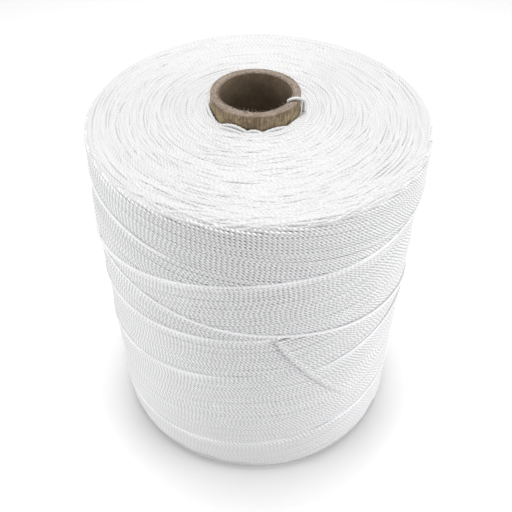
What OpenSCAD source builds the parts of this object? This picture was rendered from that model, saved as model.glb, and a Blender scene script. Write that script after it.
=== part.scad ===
// Cross-wound package of waxed thread on a spiral paper tube.
// Millimetres. The tube's axis is Z, the package stands on z = 0, and its front is towards -Y.
// Angles round the axis are counted from the front towards +X, the way the thread was wound.

/* [Paper tube] */
// Bore of the tube, which turns on a spindle of one inch
tube_bore = 25.4; // [19:0.1:32]
// Height of the tube's rim over the top face of the winding round it
rim_rise = 6.6; // [6.2:0.2:14]
// Thickness of the smooth liner ply round the bore
liner_ply = 0.5; // [0.3:0.05:0.8]
// Thickness of the glued body plies in the middle of the wall
body_plies = 1.9; // [0.8:0.1:3.5]
// Thickness of the outer ply, a strip wound on in a spiral
outer_ply = 0.5; // [0.3:0.05:0.8]
// Film of glue between two plies
glue_film = 0.03; // [0.02:0.01:0.08]
// Rise of the outer ply's butt seam in one turn
seam_rise = 82; // [50:1:120]
// Width of the open butt seam, measured along the tube
seam_gap = 0.6; // [0.3:0.1:1.5]
// Turn of the seam round the axis where it starts at the base
seam_angle = 140; // [0:5:360]

/* [Winding] */
// Diameter of the plain inner winding
core_dia = 117.4; // [100:0.2:150]
// Height of the inner winding at its top shoulder
core_height = 138.8; // [90:0.2:180]
// Rise of the top face from the shoulder to the tube
face_rise = 2.6; // [0:0.2:5]
// Width of the level land of the top face round the tube
land_width = 4; // [3:0.5:8]
// Radius of the rounded top shoulder
shoulder_radius = 3; // [2:0.5:6]
// Radius of the rounded foot, above the face that it stands on
foot_radius = 2; // [1:0.5:5]
// Clearance between the tube and the winding
tube_clearance = 0.05; // [0.03:0.01:0.2]

/* [Thread] */
// Diameter of the waxed thread
thread_dia = 1.2; // [0.8:0.05:1.5]
// Clearance between the thread and what it lies on
thread_clearance = 0.1; // [0.05:0.01:0.2]
// Clear gap where a rising pass crosses over a falling one
crossing_gap = 0.5; // [0.45:0.05:1]
// Whole turns that show on the top face
face_turns = 15; // [6:1:15]
// Angle at which the thread comes up beside the tube
start_angle = 77; // [60:1:90]
// Bend radius where the thread turns up the tube
start_bend = 2.4; // [1.8:0.1:3.2]

/* [Cross winding] */
// Height of the lowest reversal of the passes
low_reversal = 6; // [5:0.5:12]
// Depth of the highest reversal under the shoulder
high_reversal = 5.3; // [4:0.1:12]
// Turns that one pass takes from reversal to reversal
pass_turns = 2.25; // [1.75:0.5:2.25]
// Angle of the first low reversal
reversal_angle = 18; // [0:1:40]
// Half width of a reversal, as an angle
reversal_half = 30; // [15:5:45]
// Turns of the last pass up to the point where its end is tucked in
last_turns = 1.468; // [1.2:0.001:1.5]

/* [Hidden] */

kraft = [0.56, 0.44, 0.33];
kraft_dark = [0.46, 0.36, 0.27];
kraft_light = [0.62, 0.50, 0.38];
thread_white = [0.95, 0.95, 0.94];
thread_shade = [0.88, 0.88, 0.87];

round_fn = 96;          // facets of a circle where it is drawn as a mesh
ply_steps = 36;         // steps round one turn of the outer ply
loop_rings = 24;        // rings in one loop of the wound thread
loop_sides = 6;         // sides of the wound thread
tail_sides = 8;         // sides of the free thread end
tail_steps = 3;         // rings between two points of the free end's route
gap_samples = 4;        // points measured on each stretch between two rings
own_bend = 4;           // length of thread that counts as one bend

// Free end of the thread: how far out from the tube's outer face, its angle, its height over the rim
tail_route = [
    [0.85, 77, -0.6],
    [0.65, 76, 0.5],
    [0.0, 75, 1.2],
    [-0.9, 73, 1.35],
    [-1.7, 70, 1.05],
    [-2.5, 67, 0.8]
];

bore_r = tube_bore / 2;
liner_r = bore_r + liner_ply;
body_r = liner_r + glue_film + body_plies;
outer_ply_inner_r = body_r + glue_film;
tube_r = outer_ply_inner_r + outer_ply;

core_r = core_dia / 2;
core_bore_r = tube_r + tube_clearance;
land_r = core_bore_r + land_width;
shoulder_r = core_r - shoulder_radius;
land_z = core_height + face_rise;
tube_length = land_z + rim_rise;

thread_r = thread_dia / 2;
ring_step = 360 / loop_rings;
core_lift = thread_clearance + thread_r;                     // thread's axis over the face it lies on
inner_pass_r = (core_r + core_lift) / cos(ring_step / 2);    // chords of the tube stay clear of the core
pass_step = thread_dia + crossing_gap;
outer_pass_r = inner_pass_r + pass_step / cos(ring_step / 2);
start_r = tube_r + core_lift + thread_clearance;
start_z = land_z + core_lift;
join_z = start_z + start_bend + thread_dia;                  // where the free end takes over

pass_angle = 360 * pass_turns;
top_z = core_height - high_reversal;
pass_slope = (top_z - low_reversal) / pass_angle;            // rise per degree
side_start = reversal_angle - pass_angle;                    // first falling pass leaves the shoulder
roll_angle = 180;                                            // half a turn takes it over the shoulder
roll_start = side_start - roll_angle;
face_lead = atan2(start_bend, start_r);
face_start = start_angle + face_lead
    + 360 * (floor((roll_start - start_angle - face_lead) / 360) - face_turns);
run_end = reversal_angle + 2 * pass_angle + 360 * last_turns;
end_bend = outer_pass_r - core_r - thread_clearance - thread_dia;

function unit(v) = v / norm(v);
function blend(a, b, t) = a + (b - a) * t;
function smooth(t) = let (u = max(0, min(1, t))) u * u * (3 - 2 * u);
function outward(a) = [sin(a), -cos(a), 0];
function along(a) = [cos(a), sin(a), 0];
function spot(r, a, z) = r * outward(a) + [0, 0, z];

// Height of the inner winding's top face at radius r
function face_fall(r) = (r - land_r) / (shoulder_r - land_r);
function face_z(r) = r <= land_r ? land_z : blend(land_z, core_height, face_fall(r));

// The passes, counted by how far the thread has run since the first low reversal
function pass_phase(a) = (a - reversal_angle) / pass_angle;
function nearest_reversal(a) = reversal_angle + pass_angle * round(pass_phase(a));
function is_low(a) = round(pass_phase(a)) % 2 == 0;
function from_reversal(a) = abs(a - nearest_reversal(a));
function rounded_reach(d) = d >= reversal_half ? d : reversal_half / 2 + d * d / (2 * reversal_half);
function pass_z(a) = let (reach = pass_slope * rounded_reach(from_reversal(a)))
    a < side_start ? top_z : is_low(a) ? low_reversal + reach : top_z - reach;

// A rising pass lies outside, a falling one inside, and they change over at the reversals
function after_reversal(a) = (a - nearest_reversal(a)) / reversal_half;
function outside_share(a) = a < side_start + reversal_half ? 0
    : smooth(0.5 + (is_low(a) ? 0.5 : -0.5) * after_reversal(a));
function pass_r(a) = blend(inner_pass_r, outer_pass_r, outside_share(a));

// From the top face over the shoulder onto the side
function roll_share(a) = (a - roll_start) / roll_angle;
function roll_point(a) = let (
        turn = 90 * roll_share(a),
        side_lift = inner_pass_r - core_r,
        lift = blend(core_lift, side_lift, sin(turn)),
        drop = (core_height - shoulder_radius - top_z) * smooth(roll_share(a))
    ) spot(
        shoulder_r + (shoulder_radius + lift) * sin(turn),
        a,
        core_height - shoulder_radius - drop + (shoulder_radius + lift) * cos(turn)
    );
function face_share(a) = (a - face_start) / (roll_start - face_start);
function face_r(a) = blend(norm([start_r, start_bend]), shoulder_r, face_share(a));
function face_point(a) = spot(face_r(a), a, face_z(face_r(a)) + core_lift);
function run_point(a) = a < roll_start ? face_point(a)
    : a < side_start ? roll_point(a)
    : spot(pass_r(a), a, pass_z(a));

// The start comes straight down beside the tube and bends onto the face
start_rise = [
    for (rise = [thread_dia, 0]) spot(start_r, start_angle, start_z + start_bend + rise),
    for (turn = [22.5:22.5:67.5])
        spot(start_r, start_angle, start_z + start_bend * (1 - sin(turn)))
            + start_bend * (1 - cos(turn)) * along(start_angle)
];
// The last pass ends by turning square into the side of the winding
end_heading = unit(run_point(run_end) - run_point(run_end - ring_step / 4));
end_tuck = [
    for (turn = [22.5:22.5:90])
        run_point(run_end) + end_bend * (sin(turn) * end_heading - (1 - cos(turn)) * outward(run_end)),
    run_point(run_end) + end_bend * end_heading - (end_bend + thread_dia) * outward(run_end)
];
whole_steps = floor((run_end - face_start) / ring_step);
first_step = run_end - whole_steps * ring_step;
run_angles = concat(
    first_step - face_start > ring_step / 2 ? [face_start] : [],
    [for (i = [0:whole_steps]) first_step + i * ring_step]
);
winding_path = concat(start_rise, [for (a = run_angles) run_point(a)], end_tuck);

// Reference directions turn from outwards at the start to upwards on the first loop
function heading(path, i) = unit(path[min(i + 1, len(path) - 1)] - path[max(i - 1, 0)]);
function angle_of(p) = atan2(p[0], -p[1]);
winding_refs = [
    for (i = [0:len(winding_path) - 1])
        let (share = smooth((i - len(start_rise)) / loop_rings))
        blend(outward(angle_of(winding_path[i])), [0, 0, 1], share)
];

function ring(path, refs, i, sides, radius) = let (
        t = heading(path, i),
        n = unit(refs[i] - (refs[i] * t) * t),
        b = cross(t, n)
    ) [
        for (k = [0:sides - 1])
            let (a = 360 * k / sides)
            path[i] + radius * (cos(a) * n + sin(a) * b)
    ];

function tube_faces(rings, sides) = concat(
    [for (k = [1:sides - 2]) [0, k, k + 1]],
    [for (k = [1:sides - 2]) let (last = (rings - 1) * sides) [last, last + k + 1, last + k]],
    [
        for (i = [0:rings - 2], k = [0:sides - 1])
            let (a = i * sides + k, b = i * sides + (k + 1) % sides)
            each [[a, a + sides, b], [b, a + sides, b + sides]]
    ]
);

// One unbroken tube of thread along a path
module thread_tube(path, refs, sides) {
    points = [for (i = [0:len(path) - 1]) each ring(path, refs, i, sides, thread_r)];
    polyhedron(points = points, faces = tube_faces(len(path), sides), convexity = 10);
}

// Least gap of a wound tube to itself, measured from points on it to every stretch past its own bend
function stretch_length(path, i) = i + 1 < len(path) ? norm(path[i + 1] - path[i]) : 0;
function run_lengths(path) = [
    for (i = 0, run = 0; i < len(path); run = run + stretch_length(path, i), i = i + 1) run
];
function to_stretch(p, a, b) =
    let (t = max(0, min(1, (p - a) * (b - a) / ((b - a) * (b - a))))) norm(p - a - t * (b - a));
function least_gap(path) = let (run = run_lengths(path)) min([
    for (i = [0:len(path) - 2], s = [0:gap_samples - 1])
        let (p = blend(path[i], path[i + 1], s / gap_samples))
        for (j = [i + 1:1:len(path) - 2])
            if (run[j] - run[i + 1] > own_bend) to_stretch(p, path[j], path[j + 1])
]) - thread_dia;

// Smooth curve through the points of a route
function bend_route(points, i, t) = let (
        a = points[max(i - 1, 0)],
        b = points[i],
        c = points[i + 1],
        d = points[min(i + 2, len(points) - 1)]
    ) 0.5 * (
        2 * b + (c - a) * t
        + (2 * a - 5 * b + 4 * c - d) * pow(t, 2)
        + (3 * b - a - 3 * c + d) * pow(t, 3)
    );

module tube_sleeve(inner_r, outer_r) {
    rotate_extrude($fn = round_fn)
        translate([inner_r, 0])
            square([outer_r - inner_r, tube_length]);
}

module tube_liner_ply() {
    color(kraft_dark)
        tube_sleeve(bore_r, liner_r);
}

module tube_body_plies() {
    color(kraft_light)
        tube_sleeve(liner_r + glue_film, body_r);
}

// A strip of board wound round the tube, its edges meeting in an open butt seam, trimmed square at the ends
module tube_outer_ply() {
    step = 360 / ply_steps;
    rise = seam_rise / ply_steps;
    first = ceil(-seam_rise / rise) + 1;
    last = floor(tube_length / rise) - 1;
    inner_r = outer_ply_inner_r / cos(step / 2);
    edges = [for (i = [first:last]) [
        seam_angle + i * step,
        max(0, i * rise + seam_gap / 2),
        min(tube_length, i * rise + seam_rise - seam_gap / 2)
    ]];
    points = [for (e = edges) each [
        spot(inner_r, e[0], e[1]),
        spot(tube_r, e[0], e[1]),
        spot(tube_r, e[0], e[2]),
        spot(inner_r, e[0], e[2])
    ]];
    color(kraft)
        polyhedron(points = points, faces = tube_faces(len(edges), 4), convexity = 6);
}

// The mass of thread under the last layer, slightly domed on top, with a rounded shoulder and foot
module inner_winding() {
    color(thread_shade)
        rotate_extrude($fn = round_fn)
            union() {
                polygon([
                    [core_bore_r, 0],
                    [core_r - foot_radius, 0],
                    [core_r - foot_radius, foot_radius],
                    [core_r, foot_radius],
                    [core_r, core_height - shoulder_radius],
                    [shoulder_r, core_height - shoulder_radius],
                    [shoulder_r, core_height],
                    [land_r, land_z],
                    [core_bore_r, land_z]
                ]);
                translate([shoulder_r, core_height - shoulder_radius])
                    circle(shoulder_radius, $fn = round_fn);
                translate([core_r - foot_radius, foot_radius])
                    circle(foot_radius, $fn = round_fn);
            }
}

// The last layer: a spiral on the top face, then falling and rising passes round the side
module outer_winding() {
    echo(loops = (run_end - face_start) / 360, least_gap = least_gap(winding_path));
    color(thread_white)
        thread_tube(winding_path, winding_refs, loop_sides);
}

// The thread's first end, up the outside of the tube and over its rim
module start_tail() {
    foot = [for (rise = [0, thread_dia]) spot(start_r, start_angle, join_z + rise)];
    route = concat(foot, [for (p = tail_route) spot(tube_r + p[0], p[1], tube_length + p[2])]);
    last = len(route) - 1;
    path = concat(
        [for (i = [0:last - 1], s = [0:tail_steps - 1]) bend_route(route, i, s / tail_steps)],
        [route[last]]
    );
    refs = [for (p = path) along(angle_of(p))];
    color(thread_white)
        thread_tube(path, refs, tail_sides);
}

tube_liner_ply();
tube_body_plies();
tube_outer_ply();
inner_winding();
outer_winding();
start_tail();
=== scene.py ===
"""Looks of a cross-wound package of waxed thread on a spiral paper tube.

Lengths in the classes are millimetres and become metres where a mesh is made. Angles round the axis
are degrees counted from the front (-Y) towards +X, and go on through whole turns.
"""

import logging
import math
from collections.abc import Callable, Sequence
from dataclasses import dataclass, field
from enum import Enum

import bmesh
import bpy
import numpy as np
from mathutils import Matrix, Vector


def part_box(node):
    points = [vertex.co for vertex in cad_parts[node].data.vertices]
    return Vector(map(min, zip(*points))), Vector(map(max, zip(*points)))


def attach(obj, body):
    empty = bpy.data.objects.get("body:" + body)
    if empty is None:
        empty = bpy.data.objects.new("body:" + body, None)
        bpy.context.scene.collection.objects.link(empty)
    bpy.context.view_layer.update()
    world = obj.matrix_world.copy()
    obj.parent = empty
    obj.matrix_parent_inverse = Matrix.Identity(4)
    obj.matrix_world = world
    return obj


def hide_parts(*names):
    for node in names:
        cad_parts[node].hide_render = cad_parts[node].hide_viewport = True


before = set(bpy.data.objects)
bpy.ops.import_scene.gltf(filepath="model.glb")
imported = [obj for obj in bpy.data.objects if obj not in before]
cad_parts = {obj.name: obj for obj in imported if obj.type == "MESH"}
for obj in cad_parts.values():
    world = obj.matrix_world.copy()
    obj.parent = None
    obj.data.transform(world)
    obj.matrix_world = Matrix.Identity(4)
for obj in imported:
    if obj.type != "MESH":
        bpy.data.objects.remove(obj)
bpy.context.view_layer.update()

MM = 0.001
TURN = 360.0
HIGHLIGHT_TONE = 1.95         # tone of the threads that stand proud of the winding, whose grooves it lightens as a painted highlight
WAVE_RATE = 20.0    # radians that a Wave texture turns over one unit at scale 1
logging.basicConfig(level=logging.INFO, format="%(message)s")
log = logging.getLogger("thread_package")

Array = np.ndarray
Pair = tuple[float, float]
Triple = tuple[float, float, float]
Colour = Triple
Height = Callable[[Array], Array]
Inputs = dict[str | int, object]
Table = tuple[tuple[float, ...], ...]


class Slot(Enum):
    """Material slots of the record."""

    THREAD = "thread"
    LINER = "board_liner"
    BODY = "board_body"
    OUTER = "board_outer"


class End(Enum):
    """Ends of the package."""

    TOP = 1
    BASE = -1


# ---------------------------------------------------------------- node trees


class Sock:
    """An output socket that takes part in arithmetic with others and with numbers."""

    def __init__(self, graph: "Graph", socket: bpy.types.NodeSocket) -> None:
        """Wraps one output socket of the graph's tree."""
        self.graph = graph
        self.socket = socket

    def __add__(self, other: "Sock | float") -> "Sock":
        """Sum."""
        return self.graph.math("ADD", self, other)

    def __sub__(self, other: "Sock | float") -> "Sock":
        """Difference."""
        return self.graph.math("SUBTRACT", self, other)

    def __rsub__(self, other: float) -> "Sock":
        """Difference from a number."""
        return self.graph.math("SUBTRACT", other, self)

    def __mul__(self, other: "Sock | float") -> "Sock":
        """Product."""
        return self.graph.math("MULTIPLY", self, other)

    __radd__ = __add__
    __rmul__ = __mul__

    def clamp(self) -> "Sock":
        """The value held between 0 and 1."""
        return self.graph.add("ShaderNodeClamp", {}, {"Value": self})

    def step(self, low: float, high: float) -> "Sock":
        """Smooth step of the value, from 0 at low to 1 at high."""
        span = {"From Min": low, "From Max": high, "Value": self}
        return self.graph.add("ShaderNodeMapRange", {"interpolation_type": "SMOOTHSTEP"}, span)


class Graph:
    """Adds nodes to one tree."""

    def __init__(self, tree: bpy.types.NodeTree) -> None:
        """Takes the shader or geometry tree to build in."""
        self.tree = tree

    def node(self, kind: str, settings: dict[str, object], inputs: Inputs) -> bpy.types.Node:
        """Adds a node, with its settings first and then its sockets.

        Args:
            kind: Blender's type of the node.
            settings: Properties of the node.
            inputs: Values or sockets by the name or the place of the input.

        Returns:
            The node.
        """
        node = self.tree.nodes.new(kind)
        for name, value in settings.items():
            setattr(node, name, value)
        for name, value in inputs.items():
            socket = self._enabled(node.inputs, name)
            if isinstance(value, Sock):
                self.tree.links.new(value.socket, socket)
            else:
                socket.default_value = value
        return node

    def add(
        self,
        kind: str,
        settings: dict[str, object] | None = None,
        inputs: Inputs | None = None,
        output: str | int = 0,
    ) -> Sock:
        """Adds a node, as node() does, and gives its output of this name or place."""
        node = self.node(kind, settings or {}, inputs or {})
        return Sock(self, self._enabled(node.outputs, output))

    @staticmethod
    def _enabled(sockets: bpy.types.bpy_prop_collection, name: str | int) -> bpy.types.NodeSocket:
        """The socket of this name, or at this place, among those in use."""
        used = [s for s in sockets if s.enabled]
        return used[name] if isinstance(name, int) else next(s for s in used if s.name == name)

    def math(self, operation: str, first: Sock | float, second: Sock | float) -> Sock:
        """One operation on two values."""
        return self.add("ShaderNodeMath", {"operation": operation}, {0: first, 1: second})

    def vector_math(self, operation: str, inputs: Inputs, output: str = "Vector") -> Sock:
        """One operation on vectors."""
        return self.add("ShaderNodeVectorMath", {"operation": operation}, inputs, output)

    def vector(self, x: Sock | float, y: Sock | float, z: Sock | float) -> Sock:
        """A vector from its parts."""
        return self.add("ShaderNodeCombineXYZ", {}, {"X": x, "Y": y, "Z": z})

    def scaled(self, vector: Sock, factors: Triple) -> Sock:
        """A vector multiplied part by part."""
        return self.vector_math("MULTIPLY", {0: vector, 1: factors})

    def height_of(self, vector: Sock) -> Sock:
        """The part of a vector along Z."""
        return self.add("ShaderNodeSeparateXYZ", {}, {0: vector}, "Z")

    def attribute(self, name: str, output: str = "Fac") -> Sock:
        """A named attribute of the piece, for a material."""
        return self.add("ShaderNodeAttribute", {"attribute_name": name}, {}, output)

    def on_piece(self) -> Sock:
        """Object coordinates, for a material."""
        return self.add("ShaderNodeTexCoord", {}, {}, "Object")

    def noise(self, vector: Sock, scale: float, detail: float = 2.0, rough: float = 0.5) -> Sock:
        """Noise from 0 to 1, with its features per unit, octaves and share of each finer octave."""
        values = {"Vector": vector, "Scale": scale, "Detail": detail, "Roughness": rough}
        return self.add("ShaderNodeTexNoise", {}, values, "Fac")

    def mixed(self, share: Sock | float, first: Sock | Colour, second: Sock | Colour) -> Sock:
        """Mix of two colours.

        Args:
            share: Share of the second colour.
            first: First colour.
            second: Second colour.

        Returns:
            The colour.
        """
        first, second = (c if isinstance(c, Sock) else (*c, 1.0) for c in (first, second))
        values = {"Factor": share, "A": first, "B": second}
        return self.add("ShaderNodeMix", {"data_type": "RGBA"}, values, "Result")

    def bump(self, height: Sock, strength: float, depth: float) -> Sock:
        """Normal of a relief from 0 to 1, with its depth in millimetres."""
        relief = {"Height": height, "Strength": strength, "Distance": depth * MM}
        return self.add("ShaderNodeBump", {}, relief, "Normal")

    def stored(self, geometry: Sock, name: str, value: Sock, kind: str = "FLOAT") -> Sock:
        """Geometry whose points keep a value under a name."""
        inputs = {0: geometry, "Name": name, "Value": value}
        return self.add("GeometryNodeStoreNamedAttribute", {"data_type": kind}, inputs)

    def kept(self, name: str, kind: str = "FLOAT") -> Sock:
        """A value that the points of the geometry keep under a name."""
        return self.add("GeometryNodeInputNamedAttribute", {"data_type": kind}, {"Name": name})


# ---------------------------------------------------------------- finishes


@dataclass(frozen=True)
class Finish:
    """What every finish shares.

    Args:
        name: Name of the material.
    """

    name: str

    def material(self) -> bpy.types.Material:
        """Makes the material, once.

        Returns:
            The material.
        """
        made = bpy.data.materials.get(self.name)
        if made:
            return made
        made = bpy.data.materials.new(self.name)
        made.use_nodes = True
        made.node_tree.nodes.clear()
        graph = Graph(made.node_tree)
        surface = graph.add("ShaderNodeBsdfPrincipled", {}, self.sockets(graph))
        graph.node("ShaderNodeOutputMaterial", {}, {"Surface": surface})
        return made

    def sockets(self, graph: Graph) -> Inputs:
        """Values or links for the inputs of the Principled shader, by their names."""
        raise NotImplementedError


def shaded(colour: Colour, factor: float) -> Colour:
    """A colour times a factor."""
    return tuple(factor * c for c in colour)


@dataclass(frozen=True)
class WaxedThread(Finish):
    """Twisted polyester thread with a film of wax.

    Args:
        crown: Colour on the crowns of the plies.
        groove: Darker colour in the grooves between plies: painted shade.
        highlit_groove: Lighter colour in the grooves of thread that stands proud: a painted highlight.
        rubbed: Colour where the wax is rubbed smooth.
        shade: Colour that tone, patches and fibres shade it with.
        patches: Patches of wax in a metre.
        fibres: Fibres seen across the thread.
        fibre_depth: Depth of the fibres' relief.
        roughness: Roughness on the crowns.
        plies: Heights on a ply between which the groove's colour gives way to the crown's.
        broken: How far the fibres break up that colour.
        shading: How far tone, patches and fibres shade it.
        rubbing: Share of the rubbed colour where the wax is rubbed smooth.
        dulling: Roughness that grooves and fibres add.
        film: Weight of the film of wax on the crowns.
    """

    crown: Colour = (0.95, 0.95, 0.955)
    groove: Colour = (0.54, 0.54, 0.55)
    highlit_groove: Colour = (0.86, 0.86, 0.87)
    rubbed: Colour = (0.70, 0.70, 0.71)
    shade: Colour = (0.82, 0.82, 0.84)
    patches: float = 55.0
    fibres: float = 9.0
    fibre_depth: float = 0.03
    roughness: float = 0.42
    plies: Pair = (0.05, 0.75)
    broken: float = 0.15
    shading: Triple = (0.05, 0.06, 0.06)
    rubbing: float = 0.8
    dulling: Pair = (0.16, 0.10)
    film: float = 0.12

    def sockets(self, graph: Graph) -> Inputs:
        """Colour by the height on the ply, with painted shade in the grooves and a painted highlight on
        proud thread, and fibres along the thread.

        Args:
            graph: Builder of the material's tree.

        Returns:
            Values or links by the name of the input.
        """
        height = graph.attribute("ply").clamp()
        tone = graph.attribute("tone")
        section = graph.scaled(graph.attribute("round", "Vector"), (self.fibres, self.fibres, 0.0))
        run = graph.vector(0.0, 0.0, graph.attribute("run"))
        fibre = graph.noise(graph.vector_math("ADD", {0: section, 1: run}), 1.0, 3.0, 0.6)
        patch = graph.noise(graph.on_piece(), self.patches)
        # Painted shade: the groove colour darkens the thread between the crowns of its plies.
        share = height.step(*self.plies) * ((1.0 - self.broken) + self.broken * fibre)
        # Painted highlight: tones over 1 lighten the groove colour of thread that stands proud.
        groove = graph.mixed(tone.step(1.0, 2.0), self.groove, self.highlit_groove)
        base = graph.mixed(share.clamp(), groove, self.crown)
        by_tone, by_patch, by_fibre = self.shading
        shade = (tone * by_tone + patch * by_patch + fibre * by_fibre).clamp()
        base = graph.mixed(shade, base, self.shade)
        in_groove, on_fibre = self.dulling
        return {
            "Base Color": graph.mixed((tone * -self.rubbing).clamp(), base, self.rubbed),
            "Roughness": self.roughness + in_groove * (1.0 - height) + on_fibre * fibre,
            "Coat Weight": self.film * height,
            "Coat Roughness": 0.35,
            "Normal": graph.bump(fibre, 0.6, self.fibre_depth),
        }


@dataclass(frozen=True)
class PackedThread(Finish):
    """The mass of thread seen through the gaps of the last layer, painted darker than the thread as
    painted shade.

    Args:
        face_from: Height over which light reaches in.
        light: Colour of the rows, darker than the thread: painted shade.
        dark: Colour between the rows: painted shade.
        face: Colour where light reaches in.
        row_pitch: Pitch of its rows.
        grains: Grains of noise in a metre.
        depth: Depth of its relief.
    """

    face_from: float
    light: Colour = (0.72, 0.72, 0.73)
    dark: Colour = (0.50, 0.50, 0.51)
    face: Colour = (0.92, 0.92, 0.93)
    row_pitch: float = 1.24
    grains: float = 900.0
    depth: float = 0.2

    def sockets(self, graph: Graph) -> Inputs:
        """Rows across the height with painted shade between them, broken by noise.

        Args:
            graph: Builder of the material's tree.

        Returns:
            Values or links by the name of the input.
        """
        where = graph.on_piece()
        scale = math.tau / WAVE_RATE / (self.row_pitch * MM)
        wave = {"Vector": where, "Scale": scale, "Distortion": 1.5}
        rows = graph.add("ShaderNodeTexWave", {"bands_direction": "Z"}, wave, "Fac")
        grain = graph.noise(where, self.grains, 3.0)
        share = (rows * 0.7 + grain * 0.3).clamp()
        on_face = graph.height_of(where).step(self.face_from * MM, (self.face_from + 1.0) * MM)
        return {
            # Painted shade: the core is darker than the thread and darkest between its rows, but
            # lighter where light reaches in.
            "Base Color": graph.mixed(on_face, graph.mixed(share, self.dark, self.light), self.face),
            "Roughness": 0.55 + 0.25 * grain,
            "Normal": graph.bump(share, 0.7, self.depth),
        }


@dataclass(frozen=True)
class Board(Finish):
    """Kraft board of the paper tube.

    Args:
        rim: Height of the rim.
        pale: Colour of the pale fibres.
        deep: Colour of the deep fibres.
        cut: Colour of the cut edge on the rim.
        tint: Colour of the stains on the wall.
        streak: How far the streaks run along the tube, as a share of their width.
        ply_pitch: Thickness of one ply in the wall, or 0 where only one shows.
        depth: Depth of the grain.
        cut_from: How far under the rim the colour of the cut edge begins.
        cut_whole: How far under the rim it is whole.
        ragged: How far its border strays.
        streaks: Streaks in a metre of the wall's width.
        blotches: Blotches in a metre.
        grains: Grains in a metre.
        grits: Grains of the cut edge in a metre.
        specks: Dark specks in a metre.
        walled: Noise between which the wall goes from deep to pale.
        stained: Noise between which the stains set in.
        stain: Share of their tint.
        flecked: Noise between which the cut edge's flecks go from dark to light.
        fleck_shades: Shades of its dark and light flecks, and of the lines between plies.
        line_width: Width of those lines, as a share of a ply.
        specked: Noise between which the specks set in.
        speck: Share of their colour.
    """

    rim: float
    pale: Colour = (0.36, 0.275, 0.175)
    deep: Colour = (0.14, 0.10, 0.062)
    cut: Colour = (0.32, 0.262, 0.212)
    tint: Colour = (0.33, 0.29, 0.16)
    streak: float = 0.10
    ply_pitch: float = 0.0
    depth: float = 0.10
    cut_from: float = 0.95
    cut_whole: float = 0.15
    ragged: float = 0.9
    streaks: float = 2700.0
    blotches: float = 220.0
    grains: float = 2600.0
    grits: float = 1300.0
    specks: float = 1000.0
    walled: Pair = (0.38, 0.63)
    stained: Pair = (0.42, 0.62)
    stain: float = 0.6
    flecked: Pair = (0.36, 0.62)
    fleck_shades: Triple = (0.66, 1.04, 0.6)
    line_width: float = 0.16
    specked: Pair = (0.60, 0.68)
    speck: float = 0.8

    def sockets(self, graph: Graph) -> Inputs:
        """Streaks along the wall, coarse fibres, specks and ply lines on the cut edge.

        Args:
            graph: Builder of the material's tree.

        Returns:
            Values or links by the name of the input.
        """
        where = graph.on_piece()
        streaks = graph.noise(graph.scaled(where, (1.0, 1.0, self.streak)), self.streaks, 4.0, 0.6)
        blotch = graph.noise(where, self.blotches, 3.0, 0.6)
        grain = graph.noise(where, self.grains, 3.0, 0.7)
        wall = (streaks * 0.5 + blotch * 0.5).step(*self.walled)
        stained = graph.mixed(blotch.step(*self.stained) * self.stain, self.pale, self.tint)
        side = graph.mixed(wall, self.deep, stained)
        border = graph.height_of(where) + (blotch - 0.5) * (self.ragged * MM)
        on_rim = border.step((self.rim - self.cut_from) * MM, (self.rim - self.cut_whole) * MM)
        grit = graph.noise(where, self.grits, 2.0, 0.65)
        flecks = (grit * 0.55 + blotch * 0.45).step(*self.flecked)
        dark, light, line = (shaded(self.cut, factor) for factor in self.fleck_shades)
        edge = graph.mixed(flecks, dark, light)
        height = streaks * 0.5 + grain * 0.5
        if self.ply_pitch:
            flat = graph.scaled(where, (1.0, 1.0, 0.0))
            radius = graph.vector_math("LENGTH", {0: flat}, "Value")
            wavy = radius * (1 / (self.ply_pitch * MM)) + blotch * 1.2
            groove = graph.math("PINGPONG", wavy, 0.5).step(0.0, self.line_width)
            edge = graph.mixed(groove * 0.6 + 0.4, line, edge)
            height = height + groove * 0.8
        specks = graph.noise(where, self.specks, 1.0, 0.4).step(*self.specked) * self.speck
        return {
            "Base Color": graph.mixed(specks, graph.mixed(on_rim, side, edge), self.deep),
            "Roughness": 0.78 + 0.18 * grain,
            "Specular IOR Level": 0.3,
            "Normal": graph.bump(height, 0.9, self.depth),
        }


@dataclass(frozen=True)
class Plain(Finish):
    """Matt paint of the studio floor.

    Args:
        colour: Its colour.
    """

    colour: Colour = (0.88, 0.88, 0.88)

    def sockets(self, graph: Graph) -> Inputs:
        """One matt colour."""
        return {"Base Color": (*self.colour, 1.0), "Roughness": 0.9, "Specular IOR Level": 0.1}


THREAD = WaxedThread("waxed_thread")
# The same thread painted darker all over, painted shade that tones down the overhead light on the top,
# with painted shade in its grooves; it also dresses the base, the collar and the tail.
SHADED_END_THREAD = WaxedThread(
    "shaded_end_thread", crown=(0.63, 0.625, 0.625), groove=(0.515, 0.512, 0.515), roughness=0.6
)


# ---------------------------------------------------------------- pieces


def place(name: str, data: bpy.types.ID) -> bpy.types.Object:
    """Puts a mesh, a light or a camera in the scene.

    Args:
        name: Name of the object.
        data: What it shows.

    Returns:
        The object, at the origin.
    """
    made = bpy.data.objects.new(name, data)
    bpy.context.scene.collection.objects.link(made)
    return made


def add_mesh(name: str, points: Array, faces: Sequence[Sequence[int]]) -> bpy.types.Object:
    """Adds a mesh piece from points in millimetres.

    Args:
        name: Name of the piece.
        points: One row of x, y and z for each point.
        faces: Corners of each face.

    Returns:
        The piece.
    """
    mesh = bpy.data.meshes.new(name)
    mesh.from_pydata((points * MM).tolist(), [], [list(map(int, f)) for f in faces])
    mesh.shade_smooth()
    return place(name, mesh)


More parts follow.
